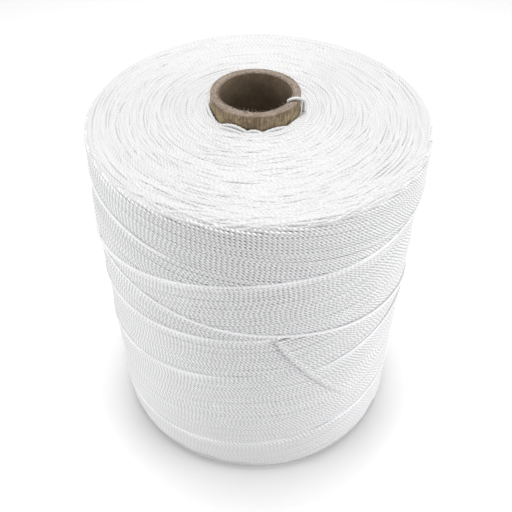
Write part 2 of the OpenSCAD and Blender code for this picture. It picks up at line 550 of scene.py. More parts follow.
def grid_faces(rows: int, columns: int, wrap: bool = True) -> list[tuple[int, int, int, int]]:
    """Faces of a closed band of points.

    Args:
        rows: Rows of points, one for each angle.
        columns: Points in a row, which close on themselves.
        wrap: Whether the last row meets the first.

    Returns:
        Quads, all turned the same way.
    """
    last = rows if wrap else rows - 1
    return [
        (i * columns + j, ((i + 1) % rows) * columns + j,
         ((i + 1) % rows) * columns + (j + 1) % columns, i * columns + (j + 1) % columns)
        for i in range(last) for j in range(columns)
    ]


def dress(piece: bpy.types.Object, finish: Finish) -> None:
    """Turns the faces of a closed piece outwards and gives it its finish."""
    work = bmesh.new()
    work.from_mesh(piece.data)
    bmesh.ops.recalc_face_normals(work, faces=work.faces)
    work.to_mesh(piece.data)
    work.free()
    piece.data.materials.append(finish.material())


def settle(piece: bpy.types.Object, slot: Slot) -> bpy.types.Object:
    """Turns a piece with live modifiers into a plain mesh that rides on the package.

    Args:
        piece: The piece, with its place in its mesh.
        slot: Not used.

    Returns:
        The same piece.
    """
    if piece.modifiers:
        graph = bpy.context.evaluated_depsgraph_get()
        made = bpy.data.meshes.new_from_object(piece.evaluated_get(graph))
        piece.modifiers.clear()
        piece.data = made
        made.name = piece.name
    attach(piece, "root")
    piece.data.calc_loop_triangles()
    log.info("%s: %d triangles", piece.name, len(piece.data.loop_triangles))
    return piece


# ---------------------------------------------------------------- thread along a path


def smooth(share: Array | float) -> Array:
    """Smooth step from 0 to 1."""
    held = np.clip(share, 0.0, 1.0)
    return held * held * (3.0 - 2.0 * held)


def ramp(value: Array, start: float, width: float) -> Array:
    """Smooth step from 0 at a start to 1 a width further on."""
    return smooth((value - start) / width)


def bell(value: Array, middle: float, width: float) -> Array:
    """Bell curve, 1 at its middle."""
    return np.exp(-(((value - middle) / width) ** 2))


def wrapped(angle: Array) -> Array:
    """Angles brought between -180 and 180 degrees."""
    return (angle + TURN / 2) % TURN - TURN / 2


@dataclass(frozen=True)
class Thread:
    """Sizes of the thread.

    Args:
        diameter: Diameter over the crowns of the plies.
        row_pitch: Pitch of rows wound side by side.
        crown_pitch: Distance between crowns of two plies along the thread.
        sides: Corners of its section, two for each ply.
        ply_depth: Depth of the grooves, as a share of the radius.
        waist: How much thinner it is between two crowns, as a share of the radius.
    """

    diameter: float = 1.46
    row_pitch: float = 1.243
    crown_pitch: float = 1.61
    sides: int = 6
    ply_depth: float = 0.27
    waist: float = 0.11

    @property
    def radius(self) -> float:
        """Half the diameter."""
        return self.diameter / 2

    @property
    def ring_pitch(self) -> float:
        """Two rings of the mesh make one crown."""
        return self.crown_pitch / 2


@dataclass
class Strand:
    """One stretch of thread.

    Args:
        points: Its middle line, one row of x, y and z for each ring, in millimetres.
        first_ring: Count of its first ring, which says where its crowns fall.
        tone: Its shade from 0 to 1, up to the highlight tone where a painted highlight lightens proud
            thread, or down to -1 where it is rubbed.
    """

    points: Array
    first_ring: int = 0
    tone: Array | float = 0.5


def spot(radius: Array, angle: Array, height: Array) -> Array:
    """Points at a radius, an angle in degrees and a height, one row of x, y and z for each."""
    turn = np.radians(angle)
    return np.stack([radius * np.sin(turn), -radius * np.cos(turn), height + 0 * turn], -1)


def chain(count: int) -> Array:
    """Edges that join points in a row."""
    return np.stack([np.arange(count - 1), np.arange(1, count)], -1)


class PathTree:
    """A Geometry Nodes tree that makes something along the edges of a mesh."""

    NAME: str
    SIZES: dict[str, str]   # kinds of the tree's own inputs by their names

    def __init__(self) -> None:
        """Builds the tree."""
        self.tree = bpy.data.node_groups.new(self.NAME, "GeometryNodeTree")
        face = self.tree.interface
        face.new_socket("Geometry", in_out="OUTPUT", socket_type="NodeSocketGeometry")
        kinds = {"Geometry": "Geometry", **self.SIZES, "Finish": "Material"}
        self.inputs = {
            name: face.new_socket(name, in_out="INPUT", socket_type=f"NodeSocket{kind}").identifier
            for name, kind in kinds.items()
        }
        graph = Graph(self.tree)
        given = {name: graph.add("NodeGroupInput", {}, {}, name) for name in self.inputs}
        made = self.shape(graph, given)
        made = graph.add("GeometryNodeRealizeInstances", {}, {"Geometry": made})
        finish = {"Geometry": made, "Material": given["Finish"]}
        made = graph.add("GeometryNodeSetMaterial", {}, finish)
        graph.node("NodeGroupOutput", {}, {0: made})

    def shape(self, graph: Graph, given: dict[str, Sock]) -> Sock:
        """Makes what lies along the edges, from the tree's inputs by their names."""
        raise NotImplementedError

    def piece(
        self,
        name: str,
        points: Array,
        edges: Array,
        sizes: dict[str, float | int],
        finish: Finish,
        slot: Slot,
        values: dict[str, Array] | None = None,
    ) -> bpy.types.Object:
        """Makes one piece along a mesh of edges.

        Args:
            name: Name of the piece.
            points: One row of x, y and z for each point, in millimetres.
            edges: Places of the two points of each edge.
            sizes: Values of the tree's own inputs by their names.
            finish: Finish of the piece.
            slot: Material slot, handed on to settle().
            values: What the points keep, by name.

        Returns:
            The piece, as a plain mesh.
        """
        mesh = bpy.data.meshes.new(name)
        mesh.from_pydata((points * MM).tolist(), edges.tolist(), [])
        for label, value in (values or {}).items():
            kept = mesh.attributes.new(label, "FLOAT", "POINT")
            kept.data.foreach_set("value", value.astype(np.float32))
        piece = place(name, mesh)
        modifier = piece.modifiers.new(self.NAME, "NODES")
        modifier.node_group = self.tree
        for label, value in {**sizes, "Finish": finish.material()}.items():
            modifier[self.inputs[label]] = value
        return settle(piece, slot)


class ThreadTree(PathTree):
    """Lays twisted thread along the edges."""

    NAME = "thread_on_path"
    SIZES = {
        "Radius": "Float", "Ply Depth": "Float", "Waist": "Float", "Roll": "Float", "Sides": "Int",
    }
    RUBBED_DEPTH = 0.6   # share of the relief that is gone where the thread is rubbed smooth
    FAINT = 0.18         # how much fainter every other crown is, as more painted groove shade

    def shape(self, graph: Graph, given: dict[str, Sock]) -> Sock:
        """Sweeps the section, and sinks in turn the corners that lie between two crowns.

        Args:
            graph: Builder of the tree.
            given: The tree's inputs by name.

        Returns:
            The thread.
        """
        at = graph.add("GeometryNodeInputPosition")
        lines = graph.stored(given["Geometry"], "middle", at, "FLOAT_VECTOR")
        curve = graph.add("GeometryNodeMeshToCurve", {}, {"Mesh": lines})
        curve = graph.add("GeometryNodeSetCurveNormal", {"mode": "Z_UP"}, {"Curve": curve})
        curve = graph.add("GeometryNodeSetCurveTilt", {}, {"Curve": curve, "Tilt": given["Roll"]})
        ring = {"Resolution": given["Sides"], "Radius": given["Radius"]}
        section = graph.add("GeometryNodeCurvePrimitiveCircle", {"mode": "RADIUS"}, ring)
        odd = graph.math("MODULO", graph.add("GeometryNodeInputIndex"), 2.0)
        section = graph.stored(section, "side", odd * 2.0 - 1.0)
        outward = graph.vector_math("NORMALIZE", {0: at})
        section = graph.stored(section, "round", outward, "FLOAT_VECTOR")
        swept = {"Curve": curve, "Profile Curve": section, "Fill Caps": True}
        tube = graph.add("GeometryNodeCurveToMesh", {}, swept)
        beat = graph.kept("beat")
        ply = graph.kept("side") * beat
        # The ply value sets how much painted groove shade the material gives each place.
        crown = (ply * 0.5 + 0.5) * (beat * self.FAINT + (1.0 - self.FAINT))
        tube = graph.stored(tube, "ply", crown)
        spoke = graph.vector_math("SUBTRACT", {0: at, 1: graph.kept("middle", "FLOAT_VECTOR")})
        rubbed = graph.math("MINIMUM", graph.kept("tone"), 0.0)
        grow = given["Ply Depth"] * (ply * 0.5 - 0.5) + given["Waist"] * (beat * 0.5 - 0.5)
        grow = grow * (rubbed * self.RUBBED_DEPTH + 1.0)
        offset = graph.vector_math("SCALE", {0: spoke, "Scale": grow})
        tube = graph.add("GeometryNodeSetPosition", {}, {"Geometry": tube, "Offset": offset})
        split = {"quad_method": "FIXED", "ngon_method": "BEAUTY"}
        tube = graph.add("GeometryNodeTriangulate", split, {"Mesh": tube})
        for spare in ("middle", "side", "beat"):
            tube = graph.add("GeometryNodeRemoveAttribute", {}, {"Geometry": tube, "Name": spare})
        return graph.add("GeometryNodeSetShadeSmooth", {}, {"Geometry": tube})

    def lay(
        self, name: str, strands: Sequence[Strand], finish: Finish, thread: Thread, roll: float = 0.0
    ) -> bpy.types.Object:
        """Makes one piece of thread from its strands.

        Args:
            name: Name of the piece.
            strands: Stretches of thread.
            finish: Finish of the thread.
            thread: Sizes of the thread.
            roll: Turn of the section, in degrees.

        Returns:
            The piece, as a plain mesh.
        """
        counts = [len(s.points) for s in strands]
        points = np.concatenate([s.points for s in strands])
        starts = np.cumsum([0, *counts[:-1]])
        edges = np.concatenate([chain(n) + first for n, first in zip(counts, starts)])
        rings = np.concatenate([s.first_ring + np.arange(n) for s, n in zip(strands, counts)])
        tones = np.concatenate([np.broadcast_to(s.tone, n) for s, n in zip(strands, counts)])
        values = {"beat": 1.0 - 2.0 * (rings % 2), "run": rings * thread.ring_pitch, "tone": tones}
        sizes = {
            "Radius": thread.radius * MM,
            "Ply Depth": thread.ply_depth,
            "Waist": thread.waist,
            "Roll": math.radians(roll),
            "Sides": thread.sides,
        }
        return self.piece(name, points, edges, sizes, finish, Slot.THREAD, values)


class FibreTree(PathTree):
    """Raises torn fibres along the edges."""

    NAME = "torn_fibres"
    SIZES = {"Length": "Float", "Thickness": "Float", "Spacing": "Float", "Seed": "Int"}
    BEND = ((0.0, -0.3), (0.0, 0.5), (0.5, 0.7))   # run and rise of its points, in lengths
    LEAN = 1.3       # most that a fibre leans over, in radians
    LEAST = 0.15     # size of the smallest fibre, as a share of the largest

    def shape(self, graph: Graph, given: dict[str, Sock]) -> Sock:
        """Stands bent fibres, turned and sized at random, along the edges.

        Args:
            graph: Builder of the tree.
            given: The tree's inputs by name.

        Returns:
            The fibres.
        """
        length, seed = given["Length"], given["Seed"]
        start, middle, end = (graph.vector(length * x, 0.0, length * z) for x, z in self.BEND)
        bend = {"Resolution": 4, "Start": start, "Middle": middle, "End": end}
        hair = graph.add("GeometryNodeCurveQuadraticBezier", {}, bend)
        ring = {"Resolution": 3, "Radius": given["Thickness"] * 0.5}
        section = graph.add("GeometryNodeCurvePrimitiveCircle", {"mode": "RADIUS"}, ring)
        swept = {"Curve": hair, "Profile Curve": section, "Fill Caps": True}
        fibre = graph.add("GeometryNodeCurveToMesh", {}, swept)
        line = graph.add("GeometryNodeMeshToCurve", {}, {"Mesh": given["Geometry"]})
        even = {"Curve": line, "Length": given["Spacing"]}
        points = graph.add("GeometryNodeResampleCurve", {"mode": "LENGTH"}, even)
        most = (self.LEAN, self.LEAN, math.tau)
        turn = {"Min": (-self.LEAN, -self.LEAN, 0.0), "Max": most, "Seed": seed}
        turned = graph.add("FunctionNodeRandomValue", {"data_type": "FLOAT_VECTOR"}, turn)
        size = {"Min": self.LEAST, "Max": 1.0, "Seed": seed + 1.0}
        sized = graph.add("FunctionNodeRandomValue", {"data_type": "FLOAT"}, size)
        stood = {"Points": points, "Instance": fibre, "Rotation": turned, "Scale": sized}
        return graph.add("GeometryNodeInstanceOnPoints", {}, stood)

    def tear(
        self, name: str, points: Array, finish: Finish, lengths: dict[str, float], seed: int
    ) -> bpy.types.Object:
        """Makes the fibres along one line.

        Args:
            name: Name of the piece.
            points: The line, one row of x, y and z for each point, in millimetres.
            finish: Finish of the fibres.
            lengths: Their length, thickness and spacing.
            seed: Seed of their turns and sizes.

        Returns:
            The piece, as a plain mesh.
        """
        sizes = {label: value * MM for label, value in lengths.items()}
        edges = chain(len(points))
        return self.piece(name, points, edges, {**sizes, "Seed": seed}, finish, Slot.BODY)


# ---------------------------------------------------------------- the winding's side


@dataclass(frozen=True)
class Course:
    """A line that the thread follows round the side.

    Args:
        points: Angle and height of its points.
        proud: Angle and height over the surface, along the line.
        easing: Half width over which its corners are rounded, in degrees.
    """

    points: Table
    proud: Table
    easing: float = 9.0

    @property
    def start(self) -> float:
        """Angle at which the line begins."""
        return self.points[0][0]

    @property
    def end(self) -> float:
        """Angle at which the line ends."""
        return self.points[-1][0]

    def covers(self, angle: Array) -> Array:
        """Whether the line is there at an angle."""
        return (angle >= self.start) & (angle <= self.end)

    def height(self, angle: Array) -> Array:
        """Height of the line, with its corners rounded."""
        shifts = np.linspace(-self.easing, self.easing, 7)
        return np.mean([np.interp(angle + s, *zip(*self.points)) for s in shifts], axis=0)

    def height_or(self, angle: Array, missing: float) -> Array:
        """Height of the line, or another value where the line isn't."""
        return np.where(self.covers(angle), self.height(angle), missing)

    def rise(self, angle: Array) -> Array:
        """How far the line stands proud of the surface."""
        return np.interp(angle, *zip(*self.proud))


@dataclass(frozen=True)
class Band:
    """Rows of thread wound side by side.

    Args:
        line: Height of row number k at an angle.
        rows: How many rows there are.
        start: Angle at which the rows may begin.
        end: Angle at which they may end.
        low: Height under which the rows are covered.
        high: Height over which they are covered.
        edge: The line that its first row follows, over what covers the others.
    """

    line: Callable[[Array, int], Array]
    rows: int
    start: float
    end: float
    low: Height
    high: Height
    edge: Course | None = None


@dataclass
class SideWinding:
    """The last layer on the package's side.

    The lines and sizes that follow the seed are explained beside them.

    Args:
        thread: Sizes of the thread.
        radius: Radius of the thread's middle line.
        shoulder: Height at which the side ends.
        foot: Height at which the side begins.
        seed: Seed of its small differences.
    """

    thread: Thread
    radius: float
    shoulder: float = 138.15
    foot: float = 4.2
    seed: int = 11
    # The rising line under which most rows hang, from the foot to the high reversal at the back
    long_rise: Course = Course(
        points=(
            (-200, 4), (-62, 16), (11, 23), (49, 26.9), (302, 57.2), (326, 61), (348, 65.6),
            (365, 68.1), (379, 67), (400, 68.9), (424, 72.2), (658.3, 103.7), (701.5, 112.4),
            (724.5, 116.1), (763.5, 117.3), (783.5, 120), (864, 134.5), (1015, 161.7),
        ),
        proud=(
            (-200, 0.3), (-62, 0.6), (20, 0.35), (49, 0.7), (320, 0.7), (345, 0.45), (372, 0.1),
            (386, 0.65), (450, 0.75), (700, 0.75), (765, 0.6), (783, 0.75), (864, 0.5),
        ),
    )
    # The rising line of the last turns; its end is tucked in where it meets the falling line
    last_rise: Course = Course(
        points=(
            (-300, 5), (-62, 39), (-8, 45.6), (41, 45.9), (63, 48.5), (170, 63.5), (300, 81.7),
            (322, 84.5), (341.5, 86.8), (363.4, 88.4), (380, 89.4), (406, 91.5), (423, 94.5),
            (593, 117.3), (660, 126.3),
        ),
        proud=(
            (-300, 0.4), (-100, 0.3), (-50, 0.05), (41, 0.1), (63, 0.5), (170, 0.75), (345, 0.6),
            (364, 0.45), (369, -0.1), (400, 0.05), (423, 0.25), (585, 0.5), (600, 0.0), (660, 0.0),
        ),
    )
    # The falling line, which crosses the front and then lies on the rows below
    high_fall: Course = Course(
        points=(
            (144, 134.5), (298.3, 102.3), (326.3, 96.6), (348.5, 92.8), (364.9, 90.4),
            (383.1, 87.6), (400.5, 84.3), (423.4, 80.6), (452, 76), (530, 63.5), (609, 50.9),
        ),
        proud=((144, 0.4), (200, 0.7), (360, 0.6), (368, 0.0), (609, 0.0)),
    )
    high_fall_lift: Table = (
        (144, -0.8), (160, 0.5), (355, 0.6), (368, 0.7), (378, 0.75), (392, 0.95), (600, 0.95),
        (609, -0.9),
    )
    # A falling line near the shoulder, which sinks among the rows
    first_fall: Course = Course(
        points=((228, 134.8), (301, 125.9), (335.2, 120.5), (372, 116.4)),
        proud=((228, 0.2), (300, 0.45), (328, 0.35), (345, 0.0), (372, 0.0)),
    )
    first_fall_lift: Table = (
        (228, -0.9), (240, 0.6), (326, 0.7), (345, -0.9), (372, -1.2),
    )
    apex: float = -65.0              # where the long rise and the falling line cross at the left
    tip: float = 7.5                 # where the last rise is tucked in
    high_turn: float = 144.0         # where the long rise turns back at the shoulder
    last_fall_start: float = 92.0    # where the falling line crosses the long rise on the right
    long_rows: int = 44              # rows under the long rise
    last_rows: int = 36              # rows under the last rise
    starts: int = 42                 # rows that leave the shoulder in one turn
    shoulder_run: float = 300.0      # how far past one turn they run
    shoulder_slope: float = -0.145   # their height for each degree
    falling_rows: int = 104          # rows under the falling line
    falling_head: float = 25.0       # height of the first over the long rise, at the tip
    falling_slope: float = -0.14     # their height for each degree
    ridge_below: float = 2.3         # how far a line's ridge spreads under it
    ridge_above: float = 0.45        # how far it spreads over it
    # Slow waves of the surface: size, waves in a turn, height for a radian, and phase
    waves: Table = ((0.10, 3, 9.0, 0.0), (0.07, 7, -5.5, 1.0))
    # The buried end runs down from the tip under the wraps
    buried_top: Pair = (6.8, 87.0)
    buried_foot: Pair = (36.85, 38.7)
    buried_bow: float = 1.6          # how far it bows away to the left
    bow_skew: float = 0.8            # under 1, the bow is widest above the middle
    buried_from: Pair = (-0.10, 0.12)   # where it comes up, in shares of its length
    buried_to: Pair = (0.78, 0.34)   # where it sinks again
    buried_cover: float = 2.5        # distance from the falling line over which it comes out
    buried_lift: float = 1.4         # how far the winding swells over it
    swell_edge: Pair = (-0.5, 1.5)   # start and width of the steep left side
    swell_tail: float = 8.0          # how far it spreads to the right
    swell_dip: Triple = (0.25, -0.9, 0.8)   # depth, place and width on its left
    crest_highlight: float = 0.8                # painted highlight on the crest over it, as a share of the highlight tone
    crest_highlight_place: Pair = (1.5, 1.3)    # middle and width of that painted highlight
    # How far a row's crowns are shifted along it, in rings
    slip_waves: Table = ((1.6, 4.9, 2.3), (0.7, 2.4, -1.6))   # size, rows for a radian, waves in a turn
    slip_walk: float = 0.5           # most that it changes from one row to the next
    slip_jump: float = 0.2           # most that one row differs
    slip_ripple: Pair = (0.3, 9.0)   # size and waves in a turn
    # Small waves of a row's height and of its radius: size, rings for a radian, radians from row to row
    sway: Triple = (0.05, 23.0, 2.4)
    heave: Triple = (0.05, 17.0, 1.7)
    heave_jump: float = 0.04         # most that one row's radius differs
    dive: float = 0.55               # depth to which a row's end sinks
    dive_from: float = -0.35         # room at which it ends, in pitches
    dive_width: float = 1.1          # room over which it sinks, in pitches
    edge_room: float = 1.0           # how far under the shoulder a line's own row ends
    rubbed_below: float = 78.0       # height under which the wax is rubbed smooth
    rubbed_lean: float = 16.0        # how much higher that is on the left
    rubbed_most: float = 0.95        # how smooth it is at the floor
    edge_tones: tuple[float, ...] = (HIGHLIGHT_TONE, 1.55, 1.2)   # tones of a band's first rows: a painted highlight on its proud ridge rows
    edge_beat: Pair = (0.12, 11.0)   # size and waves in a turn of that painted highlight
    edge_rise: float = 0.55          # how proud they stand where they take the full painted highlight
    rider_lift: float = 0.6          # how high a thread over the rows lies where it takes the full painted highlight
    lean: float = 1.1                # how far the top of the package sits to the right
    lean_from: float = 112.0         # height over which it does
    lean_over: float = 10.0          # height that it takes
    rng: np.random.Generator = field(init=False)

    def __post_init__(self) -> None:
        """Seeds the generator."""
        self.rng = np.random.default_rng(self.seed)

    @property
    def ring_step(self) -> float:
        """Angle between two rings of the thread's mesh."""
        return math.degrees(self.thread.ring_pitch / self.radius)

    def rings(self, start: float, end: float) -> Array:
        """Counts of the rings between two angles."""
        return np.arange(math.ceil(start / self.ring_step), int(end / self.ring_step))

    def bands(self) -> list[Band]:
        """The four families of rows.

        Returns:
            The bands, in the order in which they are laid.
        """
        pitch = self.thread.row_pitch
        long_rise, last_rise, fall = self.long_rise, self.last_rise, self.high_fall
        inf = math.inf

        def under_long(angle: Array) -> Array:
            """Lower limit of the rows under the long rise."""
            low = np.maximum(last_rise.height_or(angle - TURN, self.foot), self.foot)
            near = (angle > 2 * TURN + self.apex) & (angle < 2 * TURN + self.tip)
            return np.where(near, np.maximum(low, fall.height(angle - TURN)), low)

        def over_long(angle: Array) -> Array:
            """Upper limit of the rows under the long rise."""
            below = (angle > TURN + self.last_fall_start) & (angle < fall.end)
            hidden = (angle >= fall.end) & (angle < 2 * TURN + self.apex)
            behind = angle > 2 * TURN + self.high_turn
            limit = np.where(below, fall.height(angle), inf)
            limit = np.where(hidden, -inf, limit)
            return np.where(behind, fall.height(angle - 2 * TURN), limit)

        def under_last(angle: Array) -> Array:
            """Lower limit of the rows under the last rise."""
            return np.maximum(long_rise.height_or(angle, self.foot), self.foot)

        def over_last(angle: Array) -> Array:
            """Upper limit of the rows under the last rise."""
            behind = angle > TURN + self.high_turn
            return np.where(behind, fall.height(angle - TURN), inf)

        def under_shoulder(angle: Array) -> Array:
            """Lower limit of the rows under the shoulder."""
            front = (angle - self.apex) % TURN + self.apex
            ahead = front < self.high_turn
            return np.where(ahead, long_rise.height(front + 2 * TURN), fall.height(front))

        def at_shoulder(angle: Array) -> Array:
            """Upper limit of the rows under the shoulder."""
            return np.full_like(angle, self.shoulder)

        def falling_low(angle: Array) -> Array:
            """Lower limit of the rows under the falling line."""
            return np.maximum(last_rise.height(angle), fall.height_or(angle + TURN, -inf))

        def falling_high(angle: Array) -> Array:
            """Upper limit of the rows under the falling line."""
            return np.minimum(long_rise.height(angle + TURN), fall.height_or(angle, inf))

        def long_row(angle: Array, row: int) -> Array:
            """Height of a row under the long rise."""
            return long_rise.height(angle) - row * pitch

        def last_row(angle: Array, row: int) -> Array:
            """Height of a row under the last rise."""
            return last_rise.height(angle) - row * pitch

        def shoulder_row(angle: Array, row: int) -> Array:
            """Height of a row that leaves the shoulder."""
            begin = row * TURN / self.starts
            return self.shoulder + self.shoulder_slope * (angle - begin)

        def falling_row(angle: Array, row: int) -> Array:
            """Height of a row under the falling line."""
            top = long_rise.height(np.array([TURN * 2 + self.tip]))[0]
            fallen = self.falling_slope * (angle - TURN - self.tip)
            return top - row * pitch + fallen + self.falling_head

        return [
            Band(long_row, self.long_rows, long_rise.start, long_rise.end,
                 under_long, over_long, long_rise),
            Band(last_row, self.last_rows, last_rise.start, last_rise.end,
                 under_last, over_last, last_rise),
            Band(shoulder_row, self.starts, 0.0, TURN + self.shoulder_run,
                 under_shoulder, at_shoulder),
            Band(falling_row, self.falling_rows, self.last_fall_start, TURN + self.tip,
                 falling_low, falling_high),
        ]

    def relief(self, angle: Array, height: Array) -> Array:
        """How far the surface stands over its radius.

        Args:
            angle: Angles, counted on through whole turns.
            height: Heights.

        Returns:
            Heights over the surface: ridges, the lean, slow waves and the buried end.
        """
        front = wrapped(angle)
        total = np.zeros_like(height)
        for course in (self.long_rise, self.last_rise, self.high_fall, self.first_fall):
            first, last = (math.floor(at / TURN + 0.5) for at in (course.start, course.end))
            for turn in range(first, last + 1):
                there = front + turn * TURN
                below = course.height(there) - height
                spread = np.where(below > 0, -below / self.ridge_below, below / self.ridge_above)
                total += np.where(course.covers(there), course.rise(there) * np.exp(spread), 0.0)
        total += self.leaning(height) * np.sin(np.radians(front))
        wave = sum(
            size * np.sin(np.radians(count * front) + height / climb + phase)
            for size, count, climb, phase in self.waves
        )
        return total + wave + self.swelling(*self.buried_place(front, height))

    def leaning(self, height: Array) -> Array:
        """How far the package sits to the right at a height."""
        return ramp(height, self.lean_from, self.lean_over) * self.lean

    def buried_place(self, front: Array, height: Array) -> tuple[Array, Array]:
        """Where a place lies from the buried end of the thread.

        Args:
            front: Angles from -180 to 180.
            height: Heights.

        Returns:
            How far it lies to the right of that end, and how much of the end shows there, from 0 to 1.
        """
        arc = math.radians(1.0) * (self.radius + self.thread.radius)
        top, foot = (np.array([a * arc, z]) for a, z in (self.buried_top, self.buried_foot))
        length = np.linalg.norm(foot - top)
        along = (foot - top) / length
        x, z = front * arc - top[0], height - top[1]
        share = (x * along[0] + z * along[1]) / length
        bow = self.buried_bow * np.sin(math.pi * np.clip(share, 0.0, 1.0) ** self.bow_skew)
        side = -x * along[1] + z * along[0] + bow
        shown = ramp(share, *self.buried_from) * (1.0 - ramp(share, *self.buried_to))
        clear = self.high_fall.height(front + TURN) - height
        return side, shown * ramp(clear, 0.0, self.buried_cover)

    def swelling(self, side: Array, shown: Array) -> Array:
        """Swelling over the buried end, steep on its left and gentle on its right."""
        depth, middle, width = self.swell_dip
        shape = ramp(side, *self.swell_edge) * np.exp(-np.maximum(side, 0.0) / self.swell_tail)
        return self.buried_lift * (shape - depth * bell(side, middle, width)) * shown

    def crest_highlight_tone(self, side: Array, shown: Array) -> Array:
        """Tone of the thread over the buried end: a painted highlight along the crest of the swelling.
        """
        return self.crest_highlight * HIGHLIGHT_TONE * shown * bell(side, *self.crest_highlight_place)

    def slip(self, turn: Array, row: int) -> Array:
        """How far a row's crowns are shifted along it by slow waves, in rings."""
        return sum(size * np.sin(row / rows + rate * turn) for size, rows, rate in self.slip_waves)

    def tone(self, band: Band, row: int, angle: Array, height: Array) -> Array:
        """Tone along one stretch of a row.

        Args:
            band: The band that the row is in.
            row: Count of the row.
            angle: Angles along the stretch.
            height: Heights along the stretch.

        Returns:
            The tone.
        """
        front = wrapped(angle)
        below = self.rubbed_below - self.rubbed_lean * np.sin(np.radians(front))
        rubbed = self.rubbed_most * smooth((below - height) / below)
        tone = self.rng.uniform() * (1.0 - rubbed) - rubbed
        # Painted highlight on a band's first rows where they stand proud.
        if band.edge is not None and row < len(self.edge_tones):
            size, count = self.edge_beat
            beat = 1.0 - size + size * np.sin(np.radians(angle * count))
            tone = self.edge_tones[row] * beat * smooth(band.edge.rise(angle) / self.edge_rise)
        # Painted highlight along the crest over the buried end.
        crest_highlight = self.crest_highlight_tone(*self.buried_place(front, height))
        return tone + (crest_highlight - tone) * np.clip(crest_highlight, 0.0, 1.0)

    def strands(self, band: Band) -> list[Strand]:
        """Lays the rows of one band.

        Args:
            band: The band.

        Returns:
            Its strands, each with its ends sunk under what covers them.
        """
        found = []
        pitch = self.thread.row_pitch
        rings = self.rings(band.start, band.end)
        turn = np.radians(rings * self.ring_step)
        ripple, ripples = self.slip_ripple
        walk = 0.0
        for row in range(band.rows):
            walk += self.rng.uniform(-self.slip_walk, self.slip_walk)
            slip = self.slip(turn, row) + walk + self.rng.uniform(-self.slip_jump, self.slip_jump)
            slip = slip + ripple * np.sin(ripples * turn + self.rng.uniform(0.0, math.tau))
            angle = (rings + slip) * self.ring_step
            height = band.line(angle, row) + waviness(rings, row, *self.sway)
            top = self.shoulder - self.edge_room if band.edge and row == 0 else band.high(angle)
            room = np.minimum(height - band.low(angle), top - height)
            sink = self.dive * (1.0 - ramp(room / pitch, self.dive_from, self.dive_width))
            jump = self.rng.uniform(-self.heave_jump, self.heave_jump)
            wobble = waviness(rings, row, *self.heave) + jump
            radius = self.radius + self.relief(angle, height) + wobble - sink
            for run in runs_of(room > self.dive_from * pitch):
                points = spot(radius[run], angle[run], height[run])
                tone = self.tone(band, row, angle[run], height[run])
                found.append(Strand(points, int(rings[run[0]]), tone))
        return found

    def rider(self, course: Course, lift: Table) -> Strand:
        """Lays one thread over the rows.

        Args:
            course: The line that it follows.
            lift: Angle and height over the surface, along the line.

        Returns:
            The strand.
        """
        rings = self.rings(course.start, course.end)
        angle = rings * self.ring_step
        height = course.height(angle)
        over = np.interp(angle, *zip(*lift))
        radius = self.radius + self.relief(angle, height) - course.rise(angle) + over
        # Painted highlight that grows as the thread lies higher over the rows.
        return Strand(spot(radius, angle, height), int(rings[0]), HIGHLIGHT_TONE * smooth(over / self.rider_lift))

    def all_strands(self) -> list[Strand]:
        """Every strand of the side."""
        found = [s for band in self.bands() for s in self.strands(band)]
        found.append(self.rider(self.high_fall, self.high_fall_lift))
        found.append(self.rider(self.first_fall, self.first_fall_lift))
        return found


def waviness(rings: Array, row: int, size: float, pitch: float, shift: float) -> Array:
    """Small waves along a row, of a size, rings for each radian, and radians from row to row."""
    return size * np.sin(rings / pitch + shift * row)


def runs_of(keep: Array, least: int = 5) -> list[Array]:
    """Stretches of places where a mask holds.

    Args:
        keep: The mask.
        least: Places in the shortest stretch that counts.

    Returns:
        Places of each stretch.
    """
    places = np.flatnonzero(keep)
    runs = np.split(places, np.flatnonzero(np.diff(places) > 1) + 1)
    return [run for run in runs if len(run) >= least]


# ---------------------------------------------------------------- the winding's ends


